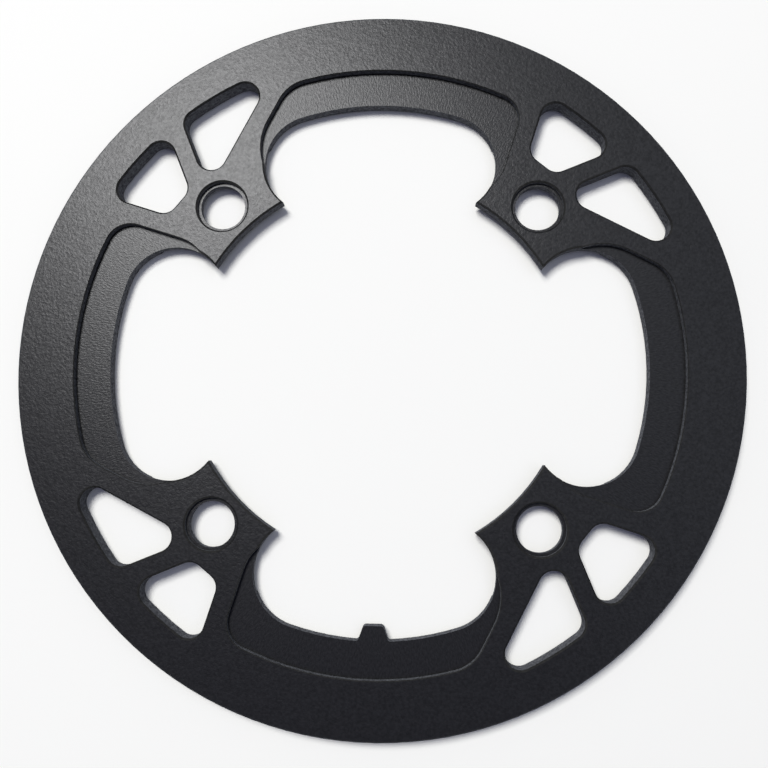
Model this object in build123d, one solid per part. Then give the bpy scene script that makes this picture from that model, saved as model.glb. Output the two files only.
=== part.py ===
from build123d import *
import os
from math import asin, atan2, degrees

# A chain guard ring for a bicycle crank, milled in one piece from flat aluminium plate.
# Millimetres and degrees. The back face lies on Z = 0 and the worked front face looks up.
# The origin is the centre of the bolt circle, and the stop nub points in from the -Y side.

# Plate
plate_thickness = 4.5
edge_break = 0.4

# Bolt holes, one in each tab
bolt_count = 4
bolt_circle = 104.0
bolt_hole = 10.4
counterbore = 11.8
counterbore_depth = 1.2

# Widths along the radius, from the bolts out to the rim and from the rim back in to the bays
boss_reach = 8.6
window_depth = 14.1
rim_width = 8.3
land_width = 13.1
floor_width = 8.0

# Tabs and the scalloped bays between them
tab_reach = 8.0
tab_width = 21.5
scallop_radius = 12.1

# Round seat in the back for the crank's arms, which thins the tabs and ends just outside the bolts
seat_depth = 1.5
seat_reach = 6.2

# Spokes of a tab: each turns from the tab's axis and passes the bolt at an offset to its left
spoke_width = 4.4
leading_turn = 27.8
leading_offset = 8.0
middle_turn = -22.5
middle_offset = 3.65
trailing_turn = -72.0
trailing_offset = 2.6

# Windows between the spokes
boss_turn = 6.0
window_corner = 3.4

# Recess milled round each bay
recess_depth = 1.5
recess_break = 0.2
leading_outer_corner = 6.0
leading_inner_corner = 10.0
trailing_inner_corner = 13.5
trailing_outer_corner = 9.0

# Stop nub in one bay
nub_height = 3.4
nub_base = 6.8
nub_tip = 4.4
nub_corner = 0.8
nub_root = 0.8

# Radii that follow from the widths
bolt_radius = bolt_circle / 2
window_radius = bolt_radius + boss_reach + window_depth
outer_radius = window_radius + rim_width
recess_radius = outer_radius - land_width
bay_radius = recess_radius - floor_width
bore_radius = bolt_radius - tab_reach
seat_radius = bolt_radius + seat_reach

# Angles that follow from the bolt count
bolt_pitch = 360 / bolt_count
tab_axis = bolt_pitch / 2
bolt_centre = Vector(bolt_radius, 0).rotate(Axis.Z, tab_axis)


def left_of(point, angle):
    """The half plane to the left of a line through a point."""
    across = 4 * outer_radius
    return Pos(point) * Rot(0, 0, angle) * Pos(0, across / 2) * Rectangle(across, across)


def spoke_edge(turn, offset, side):
    """A point on one edge of a spoke, on its left (1) or right (-1), and the spoke's angle."""
    angle = tab_axis + turn
    step = Vector(0, offset + side * spoke_width / 2).rotate(Axis.Z, angle)
    return bolt_centre + step, angle


def round_corner(outline, place, radius):
    """Round the corner of an outline that is nearest to a place."""
    return fillet(outline.vertices().sort_by_distance(place)[0], radius)


def four_sided_window():
    """The window between the leading and the middle spoke, cut short by the bolt's boss."""
    lead_point, lead_angle = spoke_edge(leading_turn, leading_offset, -1)
    middle_point, middle_angle = spoke_edge(middle_turn, middle_offset, 1)
    boss_angle = tab_axis + boss_turn
    boss_point = bolt_centre + Vector(boss_reach, 0).rotate(Axis.Z, boss_angle)
    outline = Circle(window_radius)
    outline &= left_of(lead_point, lead_angle + 180)
    outline &= left_of(middle_point, middle_angle)
    outline &= left_of(boss_point, boss_angle - 90)
    return fillet(outline.vertices(), window_corner)


def three_sided_window():
    """The window between the middle and the trailing spoke."""
    middle_point, middle_angle = spoke_edge(middle_turn, middle_offset, -1)
    trail_point, trail_angle = spoke_edge(trailing_turn, trailing_offset, 1)
    outline = Circle(window_radius)
    outline &= left_of(middle_point, middle_angle + 180)
    outline &= left_of(trail_point, trail_angle)
    return fillet(outline.vertices(), window_corner)


def bay():
    """One bay of the central opening: an arc slot and the wedge inside it."""
    slot_radius = bay_radius - scallop_radius
    half_angle = bolt_pitch / 2 - degrees(asin((tab_width / 2 + scallop_radius) / slot_radius))
    middle = 2 * tab_axis
    slot = SlotArc(CenterArc((0, 0), slot_radius, middle - half_angle, 2 * half_angle), 2 * scallop_radius)
    ends = [Vector(slot_radius, 0).rotate(Axis.Z, middle + side * half_angle) for side in (-1, 1)]
    return slot + make_face(Polyline((0, 0), *ends, close=True))


def recess():
    """The recess round the bay that follows a tab, between that tab and the next one."""
    lead_point, lead_angle = spoke_edge(leading_turn, leading_offset, 1)
    trail_point, trail_angle = spoke_edge(trailing_turn, trailing_offset, -1)
    next_point = trail_point.rotate(Axis.Z, bolt_pitch)
    next_angle = trail_angle + bolt_pitch
    mouth = lead_point - next_point
    mouth_angle = degrees(atan2(mouth.Y, mouth.X))
    outline = Circle(recess_radius)
    outline &= left_of(lead_point, lead_angle)
    outline &= left_of(next_point, next_angle + 180)
    outline &= left_of(next_point, mouth_angle)
    corners = outline.vertices().sort_by_distance((0, 0))
    lead_inner, trail_inner = corners[:2].sort_by_distance(lead_point)
    lead_outer, trail_outer = corners[2:].sort_by_distance(lead_point)
    outline = round_corner(outline, lead_inner, leading_inner_corner)
    outline = round_corner(outline, lead_outer, leading_outer_corner)
    outline = round_corner(outline, trail_inner, trailing_inner_corner)
    return round_corner(outline, trail_outer, trailing_outer_corner)


def nub():
    """The stop nub's outline on the -Y side, rooted in the rim of its bay."""
    root = -(bay_radius + floor_width / 2)
    tip = nub_height - bay_radius
    base = -bay_radius
    outline = Polyline(
        (-nub_base / 2, root),
        (nub_base / 2, root),
        (nub_base / 2, base),
        (nub_tip / 2, tip),
        (-nub_tip / 2, tip),
        (-nub_base / 2, base),
        close=True,
    )
    face = make_face(outline)
    return fillet(face.vertices().group_by(Axis.Y)[-1], nub_corner)


def around(outline):
    """Copies of an outline, one for each bolt."""
    return [Rot(0, 0, turn * bolt_pitch) * outline for turn in range(bolt_count)]


def plate_outline():
    """The whole outline of the plate, with every opening that goes right through."""
    outline = Circle(outer_radius) - Circle(bore_radius) - around(bay()) + nub()
    for side in (-1, 1):
        outline = round_corner(outline, (side * nub_base / 2, -bay_radius), nub_root)
    outline -= around(four_sided_window())
    outline -= around(three_sided_window())
    outline -= around(Pos(bolt_centre) * Circle(bolt_hole / 2))
    return outline


def hollow(outline, depth, lip):
    """A cutter for a flat-floored hollow in the front face, with a lip at 45 degrees that breaks its edge."""
    floor = Pos(0, 0, plate_thickness - depth)
    edge = Pos(0, 0, plate_thickness - lip)
    return floor * extrude(outline, plate_thickness) + edge * extrude(outline, lip, taper=-45)


def guard_plate():
    """The finished guard: plate, broken edges, seat, recesses and counterbores."""
    plate = extrude(plate_outline(), plate_thickness)
    levels = plate.faces().sort_by(Axis.Z)
    plate = chamfer(levels[0].edges() + levels[-1].edges(), edge_break)
    plate -= extrude(Circle(seat_radius), seat_depth)
    for outline in around(recess()):
        plate -= hollow(outline, recess_depth, recess_break)
    for outline in around(Pos(bolt_centre) * Circle(counterbore / 2)):
        plate -= hollow(outline, counterbore_depth, edge_break)
    return plate


os.makedirs("parts", exist_ok=True)
export_step(guard_plate(), "parts/guard_plate.step")
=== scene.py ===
"""Looks of a bicycle chain guard: one milled ring of black anodised aluminium, face up on a pale floor."""

import logging
import math
from dataclasses import dataclass
from enum import Enum
from typing import Self

import bmesh
import bpy
from mathutils import Matrix, Vector


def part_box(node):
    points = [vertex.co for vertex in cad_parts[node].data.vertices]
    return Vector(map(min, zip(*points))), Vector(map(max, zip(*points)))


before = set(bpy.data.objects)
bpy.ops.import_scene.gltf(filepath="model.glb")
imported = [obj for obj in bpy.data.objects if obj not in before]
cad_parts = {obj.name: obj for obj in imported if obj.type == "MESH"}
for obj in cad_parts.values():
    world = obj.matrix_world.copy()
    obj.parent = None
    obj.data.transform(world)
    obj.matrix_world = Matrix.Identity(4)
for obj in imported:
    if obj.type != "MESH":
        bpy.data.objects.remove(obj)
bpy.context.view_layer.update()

LOG = logging.getLogger("chain_guard")

# Lengths are in metres, apart from those whose names end in mm or px.
MM = 0.001


class SeenBy(Enum):
    """Kinds of ray that see the white surroundings, by the names of Blender's light path outputs."""

    CAMERA = "Is Camera Ray"
    GLOSSY = "Is Glossy Ray"
    TRANSMISSION = "Is Transmission Ray"


def linear(colour: str) -> tuple[float, float, float, float]:
    """Turn an sRGB hex colour into linear light.

    Args:
        colour: Colour such as "#44464b".

    Returns:
        Red, green and blue in linear light, with an alpha of one.
    """
    channels = [int(colour[place:place + 2], 16) / 255 for place in (1, 3, 5)]
    lit = [c / 12.92 if c <= 0.04045 else ((c + 0.055) / 1.055) ** 2.4 for c in channels]
    return (*lit, 1.0)


def add_node(
    tree: bpy.types.NodeTree,
    kind: str,
    inputs: dict[str | int, object] | None = None,
    **settings: object,
) -> bpy.types.Node:
    """Add one node to a tree, set it up and link it.

    Args:
        tree: Node tree that gets the node.
        kind: Blender's name of the node type.
        inputs: Values by socket name or index. An output socket is linked, and anything else is set.
        settings: Properties of the node itself.

    Returns:
        The new node.
    """
    node = tree.nodes.new(kind)
    for name, value in settings.items():
        setattr(node, name, value)
    for socket, value in (inputs or {}).items():
        if isinstance(value, bpy.types.NodeSocket):
            tree.links.new(value, node.inputs[socket])
        else:
            node.inputs[socket].default_value = value
    return node


def empty_material(name: str) -> bpy.types.Material:
    """Make a material with an empty node tree.

    Args:
        name: Name of the material.

    Returns:
        The new material.
    """
    material = bpy.data.materials.new(name)
    material.use_nodes = True
    material.node_tree.nodes.clear()
    return material


def seen_by(tree: bpy.types.NodeTree) -> bpy.types.NodeSocket:
    """Tell rays that see the white surroundings from rays that only carry light.

    Args:
        tree: Node tree of a material or of the world.

    Returns:
        A value of one for the rays in SeenBy and of zero for all others.
    """
    path = add_node(tree, "ShaderNodeLightPath").outputs
    seen = 0.0
    for ray in SeenBy:
        terms = {0: path[ray.value], 1: seen}
        seen = add_node(tree, "ShaderNodeMath", terms, operation="ADD").outputs["Value"]
    return seen


@dataclass(frozen=True)
class Polar:
    """A place on the plate, as sockets of a material: distance from the axis, angle about it, and height."""

    radius: bpy.types.NodeSocket
    angle: bpy.types.NodeSocket
    height: bpy.types.NodeSocket

    @classmethod
    def of(cls, tree: bpy.types.NodeTree, place: bpy.types.NodeSocket) -> Self:
        """Work the place out.

        Args:
            tree: Node tree of the material.
            place: Object coordinates.

        Returns:
            The place.
        """
        parts = add_node(tree, "ShaderNodeSeparateXYZ", {"Vector": place}).outputs
        flat = add_node(tree, "ShaderNodeCombineXYZ", {"X": parts["X"], "Y": parts["Y"]})
        radius = add_node(tree, "ShaderNodeVectorMath", {0: flat.outputs["Vector"]}, operation="LENGTH")
        angle = add_node(tree, "ShaderNodeMath", {0: parts["Y"], 1: parts["X"]}, operation="ARCTAN2")
        return cls(radius.outputs["Value"], angle.outputs["Value"], parts["Z"])


@dataclass(frozen=True)
class Surface:
    """One kind of surface on the plate: the two colours of its grain, and how it shines."""

    dark: str
    light: str
    metallic: float
    roughness: float


@dataclass(frozen=True)
class Zones:
    """Places on the plate where its finish changes.

    Walls further out than the rim radius are the rim's own, which is finished like the faces. The recess
    radius is the middle of the recess floors, where the tool marks have their stated width.
    """

    rim_radius: float
    recess_radius: float
    recess_floor: float


@dataclass(frozen=True)
class BlackAnodisedAluminium:
    """Aluminium plate, milled, bead blasted and anodised black.

    The blasting breaks every reflection into a soft, finely speckled sheen, and the dyed oxide keeps it dark.
    The cutter leaves fine marks across the recess floors. It leaves the walls inside the rim rougher, so that
    these look matt. Their grey, lighter than the faces, is partly their own milled finish and partly a
    painted reflection of the lit white floor.
    """

    name: str = "bead_blasted_black_anodised_aluminium"
    # The dyed oxide gives back part of the light matt, so even the faces are less than all metal.
    face: Surface = Surface(dark="#303030", light="#3c3c3c", metallic=0.73, roughness=0.33)
    # The lighter wall grey is partly the milled finish and partly a painted reflection of the lit white
    # floor.
    wall: Surface = Surface(dark="#46474a", light="#7e8085", metallic=0.0, roughness=0.9)
    # Fine roughness holds back the glare that a smooth wall would show at a low angle.
    low_angle_tint: str = "#babdc4"
    oxide_gloss: float = 0.0
    # Real blasting dimples are near 0.1 mm. They are drawn this coarse so that they show in the render.
    dimple_mm: float = 0.6
    # Tool marks run across the recess floor, and are drawn wider than real ones for the same reason.
    mark_width_mm: float = 0.34
    mark_length_mm: float = 0.9
    # Dimples and marks are both a noise, of which this middle part is stretched to the whole grain.
    noise_part: tuple[float, float] = (0.3, 0.7)
    noise_detail: float = 2.0
    noise_roughness: float = 0.6
    grain_depth_mm: float = 0.02
    # A surface turns from wall to face between these two upward parts of its direction. Broken edges, at 0.7,
    # are finished like the faces.
    wall_rises: tuple[float, float] = (0.1, 0.6)
    # A place this near to the height of the recess floors is on one of them.
    floor_margin_mm: float = 0.1

    def walls(
        self,
        tree: bpy.types.NodeTree,
        normal: bpy.types.NodeSocket,
        radius: bpy.types.NodeSocket,
        rim_radius: float,
    ) -> bpy.types.NodeSocket:
        """Find the walls inside the rim.

        Args:
            tree: Node tree of the material.
            normal: Direction of the surface.
            radius: Distance from the ring's axis.
            rim_radius: Distance beyond which walls are the rim's own.

        Returns:
            A value of one on those walls and of zero on faces and on the rim.
        """
        rise = add_node(tree, "ShaderNodeSeparateXYZ", {"Vector": normal}).outputs["Z"]
        rise = add_node(tree, "ShaderNodeMath", {0: rise}, operation="ABSOLUTE").outputs["Value"]
        low, high = self.wall_rises
        steep = add_node(
            tree,
            "ShaderNodeMapRange",
            {"Value": rise, "From Min": low, "From Max": high, "To Min": 1.0, "To Max": 0.0},
        ).outputs["Result"]
        limits = {0: radius, 1: rim_radius}
        inside = add_node(tree, "ShaderNodeMath", limits, operation="LESS_THAN").outputs["Value"]
        return add_node(tree, "ShaderNodeMath", {0: steep, 1: inside}, operation="MULTIPLY").outputs["Value"]

    def noise(
        self,
        tree: bpy.types.NodeTree,
        place: bpy.types.NodeSocket,
        size_mm: float,
    ) -> bpy.types.NodeSocket:
        """Draw spots of one size.

        Args:
            tree: Node tree of the material.
            place: Coordinates of the pattern, in metres.
            size_mm: Size of a spot.

        Returns:
            A pattern from zero to one.
        """
        spots = add_node(
            tree,
            "ShaderNodeTexNoise",
            {
                "Vector": place,
                "Scale": 1 / (size_mm * MM),
                "Detail": self.noise_detail,
                "Roughness": self.noise_roughness,
            },
        )
        low, high = self.noise_part
        return add_node(
            tree,
            "ShaderNodeMapRange",
            {"Value": spots.outputs["Fac"], "From Min": low, "From Max": high},
        ).outputs["Result"]

    def marks(self, tree: bpy.types.NodeTree, polar: Polar, recess_radius: float) -> bpy.types.NodeSocket:
        """Draw the tool marks, which all point at the middle of the ring.

        Args:
            tree: Node tree of the material.
            polar: Place on the surface.
            recess_radius: Distance from the ring's axis at which the marks have their stated width.

        Returns:
            A pattern from zero to one.
        """
        arc = {0: polar.angle, 1: recess_radius}
        around = add_node(tree, "ShaderNodeMath", arc, operation="MULTIPLY").outputs["Value"]
        shrunk = {0: polar.radius, 1: self.mark_width_mm / self.mark_length_mm}
        across = add_node(tree, "ShaderNodeMath", shrunk, operation="MULTIPLY").outputs["Value"]
        place = add_node(tree, "ShaderNodeCombineXYZ", {"X": around, "Y": across}).outputs["Vector"]
        return self.noise(tree, place, self.mark_width_mm)

    def material(self, zones: Zones) -> bpy.types.Material:
        """Build the finish.

        Args:
            zones: Places on the plate where the finish changes.

        Returns:
            The material, with its patterns on Object coordinates.
        """
        material = empty_material(self.name)
        tree = material.node_tree
        place = add_node(tree, "ShaderNodeTexCoord").outputs
        polar = Polar.of(tree, place["Object"])
        wall = self.walls(tree, place["Normal"], polar.radius, zones.rim_radius)
        level = {0: polar.height, 1: zones.recess_floor, 2: self.floor_margin_mm * MM}
        on_floor = add_node(tree, "ShaderNodeMath", level, operation="COMPARE").outputs["Value"]
        dimples = self.noise(tree, place["Object"], self.dimple_mm)
        marks = self.marks(tree, polar, zones.recess_radius)
        patterns = {"Factor": on_floor, "A": dimples, "B": marks}
        grain = add_node(tree, "ShaderNodeMix", patterns).outputs["Result"]
        shades = []
        for surface in (self.face, self.wall):
            colours = {"Factor": grain, "A": linear(surface.dark), "B": linear(surface.light)}
            shades.append(add_node(tree, "ShaderNodeMix", colours, data_type="RGBA").outputs["Result"])
        # Walls inside the rim take the lighter grey, which is partly a painted reflection of the lit white
        # floor.
        colours = {"Factor": wall, "A": shades[0], "B": shades[1]}
        colour = add_node(tree, "ShaderNodeMix", colours, data_type="RGBA").outputs["Result"]
        metals = {"Value": wall, "To Min": self.face.metallic, "To Max": self.wall.metallic}
        roughs = {"Value": wall, "To Min": self.face.roughness, "To Max": self.wall.roughness}
        relief = {"Height": grain, "Strength": 1.0, "Distance": self.grain_depth_mm * MM}
        shader = add_node(
            tree,
            "ShaderNodeBsdfPrincipled",
            {
                "Base Color": colour,
                "Metallic": add_node(tree, "ShaderNodeMapRange", metals).outputs["Result"],
                "Roughness": add_node(tree, "ShaderNodeMapRange", roughs).outputs["Result"],
                "Specular IOR Level": self.oxide_gloss,
                "Specular Tint": linear(self.low_angle_tint),
                "Normal": add_node(tree, "ShaderNodeBump", relief).outputs["Normal"],
            },
        )
        add_node(tree, "ShaderNodeOutputMaterial", {"Surface": shader.outputs["BSDF"]})
        return material


@dataclass(frozen=True)
class WhiteCard:
    """Matt white card that takes the guard's shadow.

    It throws back less light on the guard than it shows, as a greyer table would. Far from the guard it
    glows, so that it runs into the backdrop without a line.
    """

    name: str = "matt_white_card"
    colour: str = "#fcfbf4"
    bounce: str = "#c6c5c1"
    glow: str = "#f9f9f8"
    # The glow starts at the first distance from the middle and is full at the second.
    glow_distances: tuple[float, float] = (0.15, 0.7)

    def material(self) -> bpy.types.Material:
        """Build the finish.

        Returns:
            The material, a diffuse colour with a share of glow that lights nothing else.
        """
        material = empty_material(self.name)
        tree = material.node_tree
        seen = seen_by(tree)
        shade = add_node(
            tree,
            "ShaderNodeMix",
            {"Factor": seen, "A": linear(self.bounce), "B": linear(self.colour)},
            data_type="RGBA",
        )
        card = add_node(tree, "ShaderNodeBsdfDiffuse", {"Color": shade.outputs["Result"]})
        glow = add_node(tree, "ShaderNodeEmission", {"Color": linear(self.glow), "Strength": 1.0})
        place = add_node(tree, "ShaderNodeTexCoord").outputs["Object"]
        distance = add_node(tree, "ShaderNodeVectorMath", {0: place}, operation="LENGTH")
        near, far = self.glow_distances
        share = add_node(
            tree,
            "ShaderNodeMapRange",
            {"Value": distance.outputs["Value"], "From Min": near, "From Max": far},
            interpolation_type="SMOOTHSTEP",
        ).outputs["Result"]
        share = add_node(tree, "ShaderNodeMath", {0: seen, 1: share}, operation="MULTIPLY")
        surface = add_node(
            tree,
            "ShaderNodeMixShader",
            {"Fac": share.outputs["Value"], 1: card.outputs["BSDF"], 2: glow.outputs["Emission"]},
        )
        add_node(tree, "ShaderNodeOutputMaterial", {"Surface": surface.outputs["Shader"]})
        return material


@dataclass
class GuardPlate:
    """The guard itself, one piece of milled plate, with widths that run inwards from its outer edge."""

    node: str = "guard_plate"
    finish: BlackAnodisedAluminium = BlackAnodisedAluminium()
    # The rim is a strip with no openings in it, so that its only wall is the outer one.
    rim_width_mm: float = 5.0
    land_width_mm: float = 13.1
    recess_width_mm: float = 8.0
    recess_depth_mm: float = 1.5

    def zones(self) -> Zones:
        """Work out from the plate's own box where its finish changes.

        Returns:
            The zones, in metres.
        """
        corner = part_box(self.node)[1]
        return Zones(
            rim_radius=corner.x - self.rim_width_mm * MM,
            recess_radius=corner.x - (self.land_width_mm + self.recess_width_mm / 2) * MM,
            recess_floor=corner.z - self.recess_depth_mm * MM,
        )

    def dress(self) -> bpy.types.Object:
        """Give the plate its finish.

        Returns:
            The plate's object.
        """
        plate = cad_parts[self.node]
        plate.data.materials[0] = self.finish.material(self.zones())
        return plate


@dataclass
class Floor:
    """A wide sheet of white card that the guard lies on."""

    half_width: float = 3.0
    # The card lies a hair below the plate, so that the two faces don't share one plane.
    gap: float = 0.00002
    finish: WhiteCard = WhiteCard()

    def build(self) -> bpy.types.Object:
        """Lay the card out and dress it.

        Returns:
            The floor's object.
        """
        mesh = bpy.data.meshes.new("floor")
        sheet = bmesh.new()
        bmesh.ops.create_grid(sheet, x_segments=1, y_segments=1, size=self.half_width)
        bmesh.ops.translate(sheet, verts=sheet.verts, vec=(0, 0, -self.gap))
        sheet.to_mesh(mesh)
        sheet.free()
        mesh.materials.append(self.finish.material())
        floor = bpy.data.objects.new("floor", mesh)
        bpy.context.scene.collection.objects.link(floor)
        return floor


@dataclass
class SoftBox:
    """One soft studio lamp, aimed at the guard."""

    name: str
    azimuth_deg: float
    elevation_deg: float
    distance: float
    width: float
    watts: float

    def build(self) -> bpy.types.Object:
        """Hang the lamp and aim it at the origin.

        Returns:
            The lamp's object.
        """
        turn = math.radians(self.azimuth_deg)
        rise = math.radians(self.elevation_deg)
        towards = Vector((math.cos(rise) * math.cos(turn), math.cos(rise) * math.sin(turn), math.sin(rise)))
        lamp = bpy.data.lights.new(self.name, "AREA")
        lamp.size = self.width
        lamp.energy = self.watts
        holder = bpy.data.objects.new(self.name, lamp)
        holder.location = self.distance * towards
        holder.rotation_euler = (-towards).to_track_quat("-Z", "Y").to_euler()
        bpy.context.scene.collection.objects.link(holder)
        return holder


@dataclass
class Room:
    """The room round the table: a pale backdrop, dim walls, and a ceiling that is lighter on one side."""

    backdrop: str = "#f9f9f8"
    walls: str = "#646668"
    ceiling_dark: str = "#5a5c82"
    ceiling_light: str = "#c2c8dc"
    # Heights are the rise of a direction, from 0 at the horizon to 1 overhead.
    backdrop_heights: tuple[float, float] = (0.22, 0.42)
    ceiling_heights: tuple[float, float] = (0.6, 0.8)
    # The ceiling gets lighter towards this side, between these two leans of a direction.
    light_azimuth_deg: float = 30.0
    light_leans: tuple[float, float] = (0.04, 0.34)

    def build(self) -> bpy.types.World:
        """Make the room's light, by direction.

        Returns:
            The world.
        """
        world = bpy.data.worlds.new("room")
        world.use_nodes = True
        tree = world.node_tree
        tree.nodes.clear()
        direction = add_node(tree, "ShaderNodeTexCoord").outputs["Generated"]
        height = add_node(tree, "ShaderNodeSeparateXYZ", {"Vector": direction}).outputs["Z"]
        turn = math.radians(self.light_azimuth_deg)
        sides = {0: direction, 1: (math.cos(turn), math.sin(turn), 0.0)}
        lean = add_node(tree, "ShaderNodeVectorMath", sides, operation="DOT_PRODUCT").outputs["Value"]
        # The backdrop is there to be seen, and lights the guard no more than the walls do.
        backdrop = add_node(
            tree,
            "ShaderNodeMix",
            {"Factor": seen_by(tree), "A": linear(self.walls), "B": linear(self.backdrop)},
            data_type="RGBA",
        ).outputs["Result"]
        colour = linear(self.ceiling_light)
        steps = (
            (lean, self.light_leans, linear(self.ceiling_dark)),
            (height, self.ceiling_heights, linear(self.walls)),
            (height, self.backdrop_heights, backdrop),
        )
        for value, (low, high), below in steps:
            blend = add_node(
                tree,
                "ShaderNodeMapRange",
                {"Value": value, "From Min": low, "From Max": high},
                interpolation_type="SMOOTHSTEP",
            )
            colour = add_node(
                tree,
                "ShaderNodeMix",
                {"Factor": blend.outputs["Result"], "A": below, "B": colour},
                data_type="RGBA",
            ).outputs["Result"]
        light = add_node(tree, "ShaderNodeBackground", {"Color": colour, "Strength": 1.0})
        add_node(tree, "ShaderNodeOutputWorld", {"Surface": light.outputs["Background"]})
        bpy.context.scene.world = world
        return world


@dataclass
class PhotoCamera:
    """The camera at the photograph's view, almost straight above the guard."""

    place_mm: tuple[float, float, float] = (7.77, -22.0, 175.81)
    aim_mm: tuple[float, float, float] = (1.73, -4.7, 4.5)
    roll_deg: float = 0.79
    focal_px: float = 760.0
    image_px: float = 768.0
    # The guard's +Y side is at the top of the picture.
    up: tuple[float, float, float] = (0.0, 1.0, 0.0)
    nearest: float = 0.01

    def build(self) -> bpy.types.Object:
        """Set the camera up as the scene's own.

        Returns:
            The camera's object.
        """
        lens = bpy.data.cameras.new("photo_camera")
        lens.lens = lens.sensor_width * self.focal_px / self.image_px
        lens.clip_start = self.nearest
        place = Vector(self.place_mm) * MM
        back = (place - Vector(self.aim_mm) * MM).normalized()
        right = Vector(self.up).cross(back).normalized()
        up = back.cross(right)
        roll = math.radians(self.roll_deg)
        turned = Matrix((right, up, back)).transposed() @ Matrix.Rotation(roll, 3, "Z")
        camera = bpy.data.objects.new("photo_camera", lens)
        camera.matrix_world = Matrix.Translation(place) @ turned.to_4x4()
        bpy.context.scene.collection.objects.link(camera)
        bpy.context.scene.camera = camera
        return camera


def main() -> None:
    """Dress the guard and set up the studio."""
    logging.basicConfig(level=logging.INFO, format="%(name)s: %(message)s")
    bpy.context.scene.view_settings.view_transform = "Standard"
    plate = GuardPlate().dress()
    LOG.info("dressed %s in %s", plate.name, plate.active_material.name)
    floor = Floor().build()
    LOG.info("laid %s", floor.name)
    key = SoftBox("key_box", azimuth_deg=123.3, elevation_deg=62.6, distance=2.5, width=0.9, watts=57.0)
    LOG.info("hung %s", key.build().name)
    LOG.info("lit %s", Room().build().name)
    LOG.info("set up %s", PhotoCamera().build().name)


if __name__ == "__main__":
    main()
